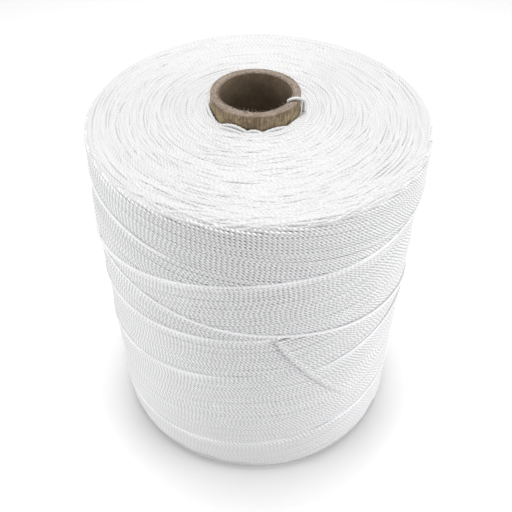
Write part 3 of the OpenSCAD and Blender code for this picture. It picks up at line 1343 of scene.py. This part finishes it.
@dataclass
class EndFace:
    """Turn-arounds of the thread on one end of the package.

    Args:
        thread: Sizes of the thread.
        end: Which end it is.
        inner: Radius of the innermost turn's middle line.
        outer: Radius of the side's middle line.
        land: Height of the middle line beside the tube.
        rim: Height of the middle line at the shoulder.
        rounding: Radius of the shoulder's middle line.
        down: How far the turns go down the side.
        pitch: Distance between two rings of turns.
        seed: Seed of their differences.
        lean: How far its outer edge sits to the right.
        layer_step: How far a layer lies under the one over it.
        drift: Most that an arc moves off its ring, as a share of the pitch.
        arcs: Fewest arcs in a ring, and one more than the most.
        laps: Least and most that an arc laps over the next, in degrees.
        uneven: How far arcs stand over or under the section.
        uneven_over: Degrees that their slow wave takes for a radian.
        bow: How far an arc bows, as a share of the pitch.
        dive: Depth to which an arc's ends sink.
        dive_over: Most degrees, degrees times radius, and share of the arc, over which an end sinks.
        half_crossing: Least and most half length of a crossing.
        slant: Least and most that a crossing moves along the section.
        crossing_lift: Most that a crossing stands over the section.
        crossings_over: Where crossings begin and how far they reach, in shares of the flat part.
    """

    thread: Thread
    end: End
    inner: float
    outer: float
    land: float
    rim: float
    rounding: float
    down: float
    pitch: float = 1.5
    seed: int = 5
    lean: float = 0.0
    layer_step: float = 0.0
    drift: float = 0.5
    arcs: tuple[int, int] = (3, 7)
    laps: Pair = (14.0, 30.0)
    uneven: float = 0.10
    uneven_over: float = 9.0
    bow: float = 0.2
    dive: float = 0.9
    dive_over: Triple = (14.0, 500.0, 0.4)
    half_crossing: Pair = (6.0, 17.0)
    slant: Pair = (1.0, 6.0)
    crossing_lift: float = 0.2
    crossings_over: Pair = (0.02, 1.03)

    @property
    def flat(self) -> float:
        """Length of the section's flat part."""
        return self.outer - self.rounding - self.inner

    @property
    def length(self) -> float:
        """Whole length of the section."""
        return self.flat + self.rounding * math.pi / 2 + self.down

    def profile(self, run: Array) -> tuple[Array, Array, Array, Array]:
        """The section that the turns follow.

        Args:
            run: Distance along it from the tube.

        Returns:
            Radius, height, and the two parts of the outward direction.
        """
        fall = (self.land - self.rim) / self.flat
        bend = self.rounding * math.pi / 2
        turn = np.clip((run - self.flat) / bend, 0.0, 1.0) * math.pi / 2
        on_flat = np.clip(run, 0.0, self.flat)
        down = np.maximum(run - self.flat - bend, 0.0)
        radius = self.inner + on_flat + self.rounding * np.sin(turn)
        sign = self.end.value
        height = self.land - fall * on_flat - sign * (self.rounding * (1.0 - np.cos(turn)) + down)
        return radius, height, np.sin(turn), sign * np.cos(turn)

    def rings(self, layer: int) -> list[Strand]:
        """Lays one layer of rings of arcs that lap over each other.

        Args:
            layer: Count of the layer from the face down.

        Returns:
            The strands.
        """
        rng = np.random.default_rng(self.seed + 10 * layer)
        count = round(self.length / self.pitch)
        found = []
        for ring in range(count + 1):
            place_of_ring = (ring + 0.5 * layer) * self.length / count
            arcs = int(rng.integers(*self.arcs))
            offset = rng.uniform(0.0, TURN)
            for arc in range(arcs):
                lap = rng.uniform(*self.laps)
                begin = offset + arc * TURN / arcs - lap
                end = begin + TURN / arcs + 2 * lap
                drift = 2 * self.drift * self.pitch * rng.uniform(-1.0, 1.0)
                lift = rng.uniform(-self.uneven, self.uneven) - self.layer_step * layer
                found.append(self.arc(rng, place_of_ring, (begin, end), drift, lift))
        return found

    def crossings(self, count: int, middle: float, spread: float) -> list[Strand]:
        """Lays short stretches that cross the rings, where the thread turned back.

        Args:
            count: How many there are.
            middle: Angle round which they lie.
            spread: How far they scatter from it, in degrees.

        Returns:
            The strands.
        """
        rng = np.random.default_rng(self.seed + 1000 + count)
        start, reach = self.crossings_over
        found = []
        for _ in range(count):
            along = (start + reach * math.sqrt(rng.uniform(0.0, 1.0))) * self.flat
            half = math.degrees(rng.uniform(*self.half_crossing) / (self.inner + along))
            centre = rng.normal(middle, spread)
            drift = rng.choice((-1.0, 1.0)) * rng.uniform(*self.slant)
            lift = rng.uniform(0.0, self.crossing_lift)
            found.append(self.arc(rng, along, (centre - half, centre + half), drift, lift))
        return found

    def arc(
        self,
        rng: np.random.Generator,
        along: float,
        span: Pair,
        drift: float,
        lift: float,
    ) -> Strand:
        """Lays one arc.

        Args:
            rng: Generator of its differences.
            along: Distance along the section from the tube.
            span: Angles at which it comes up and goes down.
            drift: How far it moves along the section from its start to its end.
            lift: How far it stands over the section.

        Returns:
            The strand.
        """
        begin, end = span
        degrees, reach, part = self.dive_over
        radius = float(self.profile(np.array([along]))[0][0])
        angle = np.arange(begin, end, math.degrees(self.thread.ring_pitch / radius))
        share = (angle - begin) / (end - begin)
        bow = rng.uniform(-self.bow, self.bow) * self.pitch
        bow = bow * np.sin(share * math.pi * rng.uniform(1, 3))
        run = np.clip(along + drift * (share - 0.5) + bow, 0.0, self.length)
        sinking = min(degrees, reach / radius, (end - begin) * part)
        ends = smooth(np.minimum(angle - begin, end - angle) / sinking)
        wave = self.uneven * np.sin(angle / self.uneven_over + rng.uniform(0, 6))
        over = lift + wave - self.dive * (1.0 - ends)
        at_radius, height, out, up = self.profile(run)
        points = spot(at_radius + out * over, angle, height + up * over)
        points[:, 0] += self.lean * (at_radius - self.inner) / (self.outer - self.inner)
        return Strand(points, int(rng.integers(0, 2)), rng.uniform())


@dataclass
class Collar:
    """Turns that climb out of the package beside the tube, which give its inner edge its scallops.

    Args:
        thread: Sizes of the thread.
        tube: Outer radius of the tube.
        land: Height of the face's middle line beside the tube.
        fall: How far each turn falls from its middle to its ends.
        flare: How far its ends move out.
        turns: Middle angle, width, height at the middle and distance from the tube of each turn.
    """

    thread: Thread
    tube: float
    land: float
    fall: float = 2.6
    flare: float = 0.25
    turns: Table = (
        (-75, 60, 1.2, 0.1), (-26, 42, 1.75, 0.1), (-2, 30, 0.9, 0.15), (24, 52, 0.8, 0.2),
        (-30, 56, 0.85, 0.12), (-34, 70, 0.1, 0.25), (0, 60, 0.1, 0.2), (-84, 70, 0.3, 0.2),
        (-28, 52, 0.9, 1.3), (-29, 64, 0.3, 1.5), (-76, 60, 0.5, 1.2), (-3, 44, 0.2, 1.3),
        (52, 50, 0.3, 0.3), (105, 62, 0.1, 0.3), (150, 70, 0.6, 0.15), (200, 60, 0.3, 0.2),
        (240, 56, 0.7, 0.1), (-30, 90, -0.3, 1.1), (30, 100, -0.35, 1.0), (140, 120, -0.3, 1.1),
        (235, 110, -0.3, 1.0),
    )

    def strands(self) -> list[Strand]:
        """Lays the turns.

        Returns:
            The strands.
        """
        found = []
        for middle, width, rise, gap in self.turns:
            radius = self.tube + self.thread.radius + gap
            step = math.degrees(self.thread.ring_pitch / radius)
            angle = np.arange(middle - width / 2, middle + width / 2, step)
            share = np.abs(angle - middle) / (width / 2)
            height = self.land + rise - self.fall * share**2
            found.append(Strand(spot(radius + self.flare * share, angle, height), tone=0.4))
        return found


@dataclass
class StartTail:
    """The thread's first end, up the outside of the tube and over its rim.

    Args:
        thread: Sizes of the thread.
        tube: Outer radius of the tube.
        rim: Height of the rim.
        foot: Height at which it comes out of the winding.
        root: Distance from the tube and angle of its stretch in the winding.
        sample: Distance between the samples from which its bends are smoothed.
        window: How many samples a bend is smoothed over.
        route: Distance from the tube, angle and height over the rim, along its way.
    """

    thread: Thread
    tube: float
    rim: float
    foot: float
    root: Pair = (1.2, 79.0)
    sample: float = 0.1
    window: int = 17
    route: Table = (
        (1.3, 79, -4.5), (1.35, 78, -2.6), (1.3, 76, -1.2), (1.05, 72.5, -0.2), (0.5, 69.5, 0.45),
        (-0.3, 67.5, 0.74), (-1.1, 66, 0.77), (-1.8, 64.3, 0.66), (-2.4, 62.6, 0.45),
        (-3.0, 61, 0.05), (-3.2, 60, -0.5),
    )

    def strand(self) -> Strand:
        """Lays it.

        Returns:
            The strand.
        """
        out, angle = self.root
        places = [(self.tube + out, angle, self.foot + rise) for rise in (-3.0, -1.5, 0.0)]
        places += [(self.tube + out, angle, self.rim + up) for out, angle, up in self.route]
        spots = spot(*np.array(places).T)
        lengths = np.concatenate([[0], np.cumsum(np.linalg.norm(np.diff(spots, axis=0), axis=1))])
        fine = np.arange(0.0, lengths[-1], self.sample)
        line = np.stack([np.interp(fine, lengths, spots[:, i]) for i in range(3)], -1)
        kernel = np.hanning(self.window) / np.hanning(self.window).sum()
        half = self.window // 2
        padded = np.pad(line, ((half, half), (0, 0)), "edge")
        line = np.stack([np.convolve(padded[:, i], kernel, "valid") for i in range(3)], -1)
        every = round(self.thread.ring_pitch / 2 / self.sample)
        return Strand(line[::every], tone=0.3)


# ---------------------------------------------------------------- paper tube


@dataclass
class PaperTube:
    """The three boards of the tube, with worn, cut rims.

    Args:
        bore: Radius of the bore. Not used.
        liner: Outer radius of the liner ply. Not used.
        body: Outer radius of the body plies.
        outer: Outer radius of the outer ply.
        length: Length of the tube.
        film: Film of glue between two plies.
        segments: Steps round the tube.
        seed: Seed of the rim's wear.
        wear_waves: Counts round the tube of the waves that make up the wear.
        wear_fade: Power of its count by which a wave grows smaller.
        wear_level: Middle of the wear and share of the waves in it.
        wear_reach: Distance from the rim over which the wear fades.
        wear_twist: Degrees by which the wear turns over a millimetre of the wall.
        wall_wear: Wear of the walls, as a share of the rim's.
        edge: How far from the rim a point belongs to its edge.
        seam_rise: How far the outer ply's seam climbs in one turn.
        seam_gap: Gap between the edges of its strip.
        seam_angle: Angle at which the seam leaves the foot.
        seam_step: Steps of the strip, in degrees.
        bevel: Bevel of its cut edges.
        bevel_edge: How far the bevel's middle lies from its corner, as a share of it.
        least_strip: Narrowest part of the strip that is made.
        strip_wear: Size of the wear of its wall and of its rim.
    """

    bore: float
    liner: float
    body: float
    outer: float
    length: float
    film: float = 0.03
    segments: int = 320
    seed: int = 8
    wear_waves: tuple[int, ...] = (3, 5, 11, 19, 37, 61, 83)
    wear_fade: float = 0.4
    wear_level: Pair = (0.5, 0.35)
    wear_reach: float = 0.5
    wear_twist: float = 7.0
    wall_wear: float = 0.4
    edge: float = 0.3
    seam_rise: float = 82.0
    seam_gap: float = 0.6
    seam_angle: float = 140.0
    seam_step: float = 4.0
    bevel: float = 0.42
    bevel_edge: float = 0.35
    least_strip: float = 0.8
    strip_wear: Pair = (0.12, 0.30)

    def wear(self, angle: Array, height: Array, size: float) -> Array:
        """Roughness of the rim.

        Args:
            angle: Angles in degrees.
            height: Heights.
            size: Size of the wear.

        Returns:
            Inward wear, which fades away from the rims.
        """
        rng = np.random.default_rng(self.seed)
        total = np.zeros_like(angle, dtype=float)
        for wave in self.wear_waves:
            wavy = np.sin(np.radians(angle * wave) + rng.uniform(0, 6))
            total += wavy / wave**self.wear_fade
        near = np.maximum(np.minimum(self.length - height, height), 0.0)
        level, share = self.wear_level
        return size * np.maximum(level + share * total, 0.0) * np.exp(-near / self.wear_reach)

    def sleeve(
        self, name: str, inner: float, outer: float, rounding: float, worn_by: float
    ) -> bpy.types.Object:
        """Makes a board with rounded rims.

        Args:
            name: Name of the piece.
            inner: Inner radius.
            outer: Outer radius.
            rounding: Radius of the rims' corners.
            worn_by: Size of its rims' wear.

        Returns:
            The piece.
        """
        middle = (inner + outer) / 2
        turns = np.radians([0.0, 30.0, 60.0, 90.0])
        quarter = [(rounding * math.sin(t), rounding * (1 - math.cos(t))) for t in turns]
        top = [(outer - rounding + out, down) for out, down in reversed(quarter)]
        top += [(middle, 0.0)]
        top += [(inner + rounding - out, down) for out, down in quarter]
        depths = (0.6, 1.4, 3.0, 8.0, 40.0)
        section = [(outer, d) for d in reversed(depths)] + top + [(inner, d) for d in depths]
        loop = np.array([(r, self.length - d) for r, d in section] + section[::-1])
        turn = np.arange(self.segments) * TURN / self.segments
        angle, radius = np.meshgrid(turn, loop[:, 0], indexing="ij")
        height = np.meshgrid(turn, loop[:, 1], indexing="ij")[1]
        worn = self.wear(angle + self.wear_twist * radius, height, worn_by)
        at_edge = np.minimum(self.length - height, height) < self.edge
        wall = np.where(radius > middle, -1.0, 1.0)
        drop = np.where(height > self.length / 2, -worn, worn)
        radius = radius + np.where(at_edge, 0.0, wall * worn * self.wall_wear)
        height = height + np.where(at_edge, drop, 0.0)
        points = spot(radius, angle, height).reshape(-1, 3)
        return add_mesh(name, points, grid_faces(self.segments, len(loop)))

    def strip(self, name: str) -> bpy.types.Object:
        """Makes the outer ply, a strip wound in a spiral with an open butt seam.

        Args:
            name: Name of the piece.

        Returns:
            The piece.
        """
        inner, outer, bevel = self.body + self.film, self.outer, self.bevel
        edge = bevel * self.bevel_edge
        side_wear, rim_wear = self.strip_wear
        turns = np.arange(self.seam_step - TURN, self.length / self.seam_rise * TURN, self.seam_step)
        start = turns / TURN * self.seam_rise
        low = np.maximum(0.0, start + self.seam_gap / 2)
        high = np.minimum(self.length, start + self.seam_rise - self.seam_gap / 2)
        wide = high - low > self.least_strip
        shares = np.array([0.0, 0.02, 0.2, 0.5, 0.8, 0.98, 1.0])
        rows = []
        for turn, z0, z1 in zip(turns[wide], low[wide], high[wide]):
            angle = self.seam_angle + turn
            up = z0 + bevel + (z1 - z0 - 2 * bevel) * shares
            worn = self.wear(np.full_like(up, angle), up, side_wear)
            tip = self.wall_wear * float(self.wear(np.array([angle]), np.array([z1]), rim_wear)[0])
            base = [(inner, z0), (outer - bevel, z0), (outer - edge, z0 + edge)]
            wall = [(outer - w, z) for w, z in zip(worn, up)]
            cap = [(outer - edge, z1 - edge), (outer - bevel, z1 - tip), (inner, z1 - tip)]
            section = np.array(base + wall + cap)
            rows.append(spot(section[:, 0], np.full(len(section), angle), section[:, 1]))
        count, columns = len(rows), len(rows[0])
        faces = grid_faces(count, columns, wrap=False)
        faces.append(tuple(range(columns)))
        faces.append(tuple(reversed(range((count - 1) * columns, count * columns))))
        return add_mesh(name, np.concatenate(rows), faces)


# ---------------------------------------------------------------- the package


@dataclass
class PackedCore:
    """The mass of thread under the last layer.

    Args:
        side: The rows that it carries.
        tube: Outer radius of the tube.
        top: Height of the core's solid beside the tube.
        gap: Gap round the tube.
        under: How far it lies under the middle line of the side's rows.
        foot: Height of its base.
        crown: How far it stands over the solid.
        drop: How far its shoulder lies under the solid's top.
        corner: Radius of its shoulder.
        heel: Radius of its foot.
        lean_run: Distance from the tube over which it takes up the lean.
        face_depth: How far under the solid's top light reaches in.
        rings: Lowest and highest ring of points on its side, and how many there are.
        flats: Radius of the ring of points on its base and on its top.
        steps: Steps round it.
    """

    side: SideWinding
    tube: float
    top: float
    gap: float = 0.15
    under: float = 0.35
    foot: float = 0.35
    crown: float = 0.45
    drop: float = 2.1
    corner: float = 2.4
    heel: float = 4.0
    lean_run: float = 44.0
    face_depth: float = 3.0
    rings: tuple[float, float, int] = (8.0, 132.0, 32)
    flats: Pair = (40.0, 20.0)
    steps: int = 192

    def section(self) -> Array:
        """Radius and height of its outline.

        Returns:
            One row for each point, from the base beside the tube round to the top.
        """
        inner, side = self.tube + self.gap, self.side.radius - self.under
        top, shoulder = self.top + self.crown, self.top - self.drop
        quarter = [(1 - math.cos(t), 1 - math.sin(t)) for t in np.radians(np.linspace(0, 90, 7))]
        corner = [(side - self.corner * x, shoulder - self.corner * z) for x, z in quarter]
        heel = [(side - self.heel * x, self.foot + self.heel * z) for x, z in reversed(quarter)]
        wall = [(side, z) for z in np.linspace(*self.rings)]
        on_base, on_top = self.flats
        base = [(inner, self.foot), (on_base, self.foot)]
        return np.array([*base, *heel, *wall, *corner, (on_top, top), (inner, top)])

    def build(self) -> bpy.types.Object:
        """Makes the piece.

        Returns:
            The piece.
        """
        outline = self.section()
        radius, height = (np.tile(part, self.steps) for part in outline.T)
        angle = np.repeat(np.arange(self.steps) * TURN / self.steps, len(outline))
        points = spot(radius, angle, height)
        reach = np.clip((radius - self.tube - self.gap) / self.lean_run, 0, 1)
        points[:, 0] += self.side.leaning(height) * reach
        piece = add_mesh("packed_thread", points, grid_faces(self.steps, len(outline)))
        dress(piece, PackedThread("packed_thread", self.top - self.face_depth))
        return settle(piece, Slot.THREAD)


@dataclass
class Package:
    """The whole package, with its sizes read from the frame.

    Args:
        thread: Sizes of the thread.
        tail: Sizes of the thread's free end, which is slack and thinner.
        bore: Radius of the tube's bore.
        cover: How far the side's middle line lies over the core.
        collar_gap: Gap between the tube and the turns of the ends.
        over_core: How far the top's middle line lies over the core.
        over_floor: Gap between the turns of the base and the floor.
        dome: How far the top falls to its shoulder.
        tail_over: How far over the core the free end comes out.
        roll: Turn of the thread's section on the ends, in degrees.
        crossings: Count, middle angle and spread of the crossings, at the front and at the back.
    """

    thread: Thread = Thread()
    tail: Thread = Thread(diameter=1.16, ply_depth=0.17, waist=0.06)
    bore: float = 12.7
    cover: float = 1.55
    collar_gap: float = 0.9
    over_core: float = 0.55
    over_floor: float = 0.34
    dome: float = 2.6
    tail_over: float = 2.0
    roll: float = 30.0
    crossings: tuple[tuple[int, float, float], ...] = ((400, 8.0, 38.0), (130, 190.0, 70.0))

    def __post_init__(self) -> None:
        """Reads the sizes that the frame gives."""
        liner, body, outer, core = (
            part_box(node)[1]
            for node in ("tube_liner_ply", "tube_body_plies", "tube_outer_ply", "inner_winding")
        )
        self.rim, self.core_top = body.z / MM, core.z / MM
        self.liner_r, self.body_r, self.tube_r = liner.x / MM, body.x / MM, outer.x / MM
        self.side = SideWinding(self.thread, round(core.x / MM + self.cover, 3))
        self.tree = ThreadTree()
        self.wall_board = Board("body_board", self.rim, ply_pitch=0.475)

    def wind_side(self) -> list[bpy.types.Object]:
        """Lays the side's rows in five pieces of about equal size, from the foot up.
        Lays the side's rows in pieces small enough to export whole.

        Returns:
            The pieces.
        """
        found = sorted(self.side.all_strands(), key=lambda s: float(s.points[:, 2].mean()))
        total = sum(len(s.points) for s in found)
        names = ("foot", "low", "middle", "upper", "high")
        groups: dict[str, list[Strand]] = {n: [] for n in names}
        done = 0
        for strand in found:
            groups[names[min(len(names) - 1, done * len(names) // total)]].append(strand)
            done += len(strand.points)
        return [
            self.tree.lay(f"side_rows_{n}", group, THREAD, self.thread) for n, group in groups.items()
        ]

    def wind_ends(self) -> list[bpy.types.Object]:
        """Lays both ends and the turns beside the tube.

        Returns:
            The pieces.
        """
        side, radius = self.side, self.thread.radius
        inner = self.tube_r + radius + self.collar_gap
        land = self.core_top + self.over_core
        foot = radius + self.over_floor
        top = EndFace(self.thread, End.TOP, inner, side.radius, land, land - self.dome, rounding=2.6,
                      down=-1.3, pitch=1.65, lean=side.lean, layer_step=0.08, drift=0.13)
        base = EndFace(self.thread, End.BASE, inner, side.radius, foot, foot, rounding=4.0,
                       down=0.4, pitch=1.45, seed=6)
        windings = {
            "top_turns": top.rings(0),
            "top_turns_under": top.rings(1),
            "top_turns_over": [s for lot in self.crossings for s in top.crossings(*lot)],
            "base_turns": base.rings(0),
            "collar_turns": Collar(self.thread, self.tube_r, land).strands(),
        }
        return [
            self.tree.lay(name, strands, SHADED_END_THREAD, self.thread, self.roll)
            for name, strands in windings.items()
        ]

    def build_tube(self) -> None:
        """Makes the three boards of the tube."""
        tube = PaperTube(self.bore, self.liner_r, self.body_r, self.tube_r, self.rim)
        liner = tube.sleeve("liner_ply", self.bore, self.liner_r, rounding=0.24, worn_by=0.42)
        within = self.liner_r + tube.film
        body = tube.sleeve("body_plies", within, self.body_r, rounding=0.3, worn_by=0.26)
        outer = tube.strip("outer_ply")
        smooth_board = Board("liner_board", self.rim, (0.25, 0.188, 0.128), (0.17, 0.125, 0.085),
                             tint=(0.27, 0.205, 0.14), streak=0.6)
        for piece, node, slot, finish in (
            (liner, "tube_liner_ply", Slot.LINER, smooth_board),
            (body, "tube_body_plies", Slot.BODY, self.wall_board),
            (outer, "tube_outer_ply", Slot.OUTER, Board("outer_board", self.rim)),
        ):
            dress(piece, finish)
            settle(piece, slot)
            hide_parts(node)

    def tear_rim(self) -> None:
        """Raises torn fibres on the tube's upper rim, with a burr at its inner edge."""
        fibres = FibreTree()
        around = np.arange(0.0, TURN, 3.0)
        burr = np.linspace(-19.0, -13.0, 4)
        # Name, radius, angles, length, spacing and seed
        lines = (
            ("rim_fibres_inner", self.bore + 0.12, around, 1.1, 0.36, 4),
            ("rim_fibres_middle", self.body_r - 1.0, around, 0.5, 0.7, 5),
            ("rim_fibres_outer", self.tube_r - 0.15, around, 0.6, 0.55, 6),
            ("rim_burr", self.bore + 0.1, burr, 1.6, 0.16, 9),
        )
        for name, radius, angles, length, spacing, seed in lines:
            line = spot(radius, angles, self.rim - 0.1)
            lengths = {"Length": length, "Thickness": 0.13, "Spacing": spacing}
            piece = fibres.tear(name, line, self.wall_board, lengths, seed)
            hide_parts("tube_body_plies")

    def build(self) -> None:
        """Builds the pieces in order; each piece logs its name and its triangles."""
        rows = self.wind_side()
        ends = self.wind_ends()
        core = PackedCore(self.side, self.tube_r, self.core_top).build()
        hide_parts("inner_winding")
        for piece in (*rows, *ends):
            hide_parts("outer_winding")
        route = StartTail(self.thread, self.tube_r, self.rim, self.core_top + self.tail_over)
        tail = self.tree.lay("start_tail_thread", [route.strand()], SHADED_END_THREAD, self.tail)
        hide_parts("start_tail")
        self.build_tube()
        self.tear_rim()


# ---------------------------------------------------------------- studio


@dataclass
class Studio:
    """Pale floor, soft light and camera.

    Args:
        eye: Place of the camera.
        tilt: How far it looks down, in degrees.
        lens: Its focal length.
        sensor: Width of its sensor.
        floor: Half the floor's width.
        surround: Strength of the white surround.
        aim: Height at which the lights are aimed.
        lights: Name, place, side and power in watts of each light.
    """

    eye: Triple = (0.17, -205.0, 269.2)
    tilt: float = 44.29
    lens: float = 47.59
    sensor: float = 36.0
    floor: float = 4000.0
    surround: float = 0.40
    aim: float = 90.0
    lights: tuple[tuple[str, Triple, float, float], ...] = (
        ("overhead", (0.0, 35.0, 850.0), 270.0, 4.9),
        ("far", (0.0, 520.0, 800.0), 400.0, 1.2),
        ("left", (-700.0, -250.0, 250.0), 500.0, 2.7),
        ("right", (700.0, -250.0, 250.0), 500.0, 3.4),
    )

    def add_camera(self) -> None:
        """Adds the camera."""
        data = bpy.data.cameras.new("camera")
        data.lens = self.lens
        data.sensor_width = self.sensor
        data.clip_start = 10 * MM
        camera = place("camera", data)
        camera.location = [v * MM for v in self.eye]
        camera.rotation_euler = (math.radians(90.0 - self.tilt), 0.0, 0.0)
        bpy.context.scene.camera = camera

    def add_floor(self) -> None:
        """Adds the floor."""
        corners = [(x * self.floor, y * self.floor, 0) for x, y in ((-1, -1), (1, -1), (1, 1), (-1, 1))]
        floor = add_mesh("floor", np.array(corners), [(0, 1, 2, 3)])
        floor.data.materials.append(Plain("floor_paint").material())

    def add_world(self) -> None:
        """Adds an even white surround."""
        world = bpy.data.worlds.new("studio")
        world.use_nodes = True
        back = world.node_tree.nodes["Background"]
        back.inputs["Color"].default_value = (1.0, 1.0, 1.0, 1.0)
        back.inputs["Strength"].default_value = self.surround
        bpy.context.scene.world = world

    def add_lights(self) -> None:
        """Adds square area lights that face the package."""
        for name, at, size, power in self.lights:
            data = bpy.data.lights.new(name, "AREA")
            data.size = size * MM
            data.energy = power
            lamp = place(name, data)
            lamp.location = [v * MM for v in at]
            aim = Vector((0.0, 0.0, self.aim * MM)) - lamp.location
            lamp.rotation_euler = aim.to_track_quat("-Z", "Y").to_euler()

    def build(self) -> None:
        """Adds everything round the package."""
        self.add_camera()
        self.add_floor()
        self.add_world()
        self.add_lights()
        bpy.context.scene.view_settings.view_transform = "Standard"


def main() -> None:
    """Builds the studio and the package."""
    Studio().build()
    Package().build()


if __name__ == "__main__":
    main()
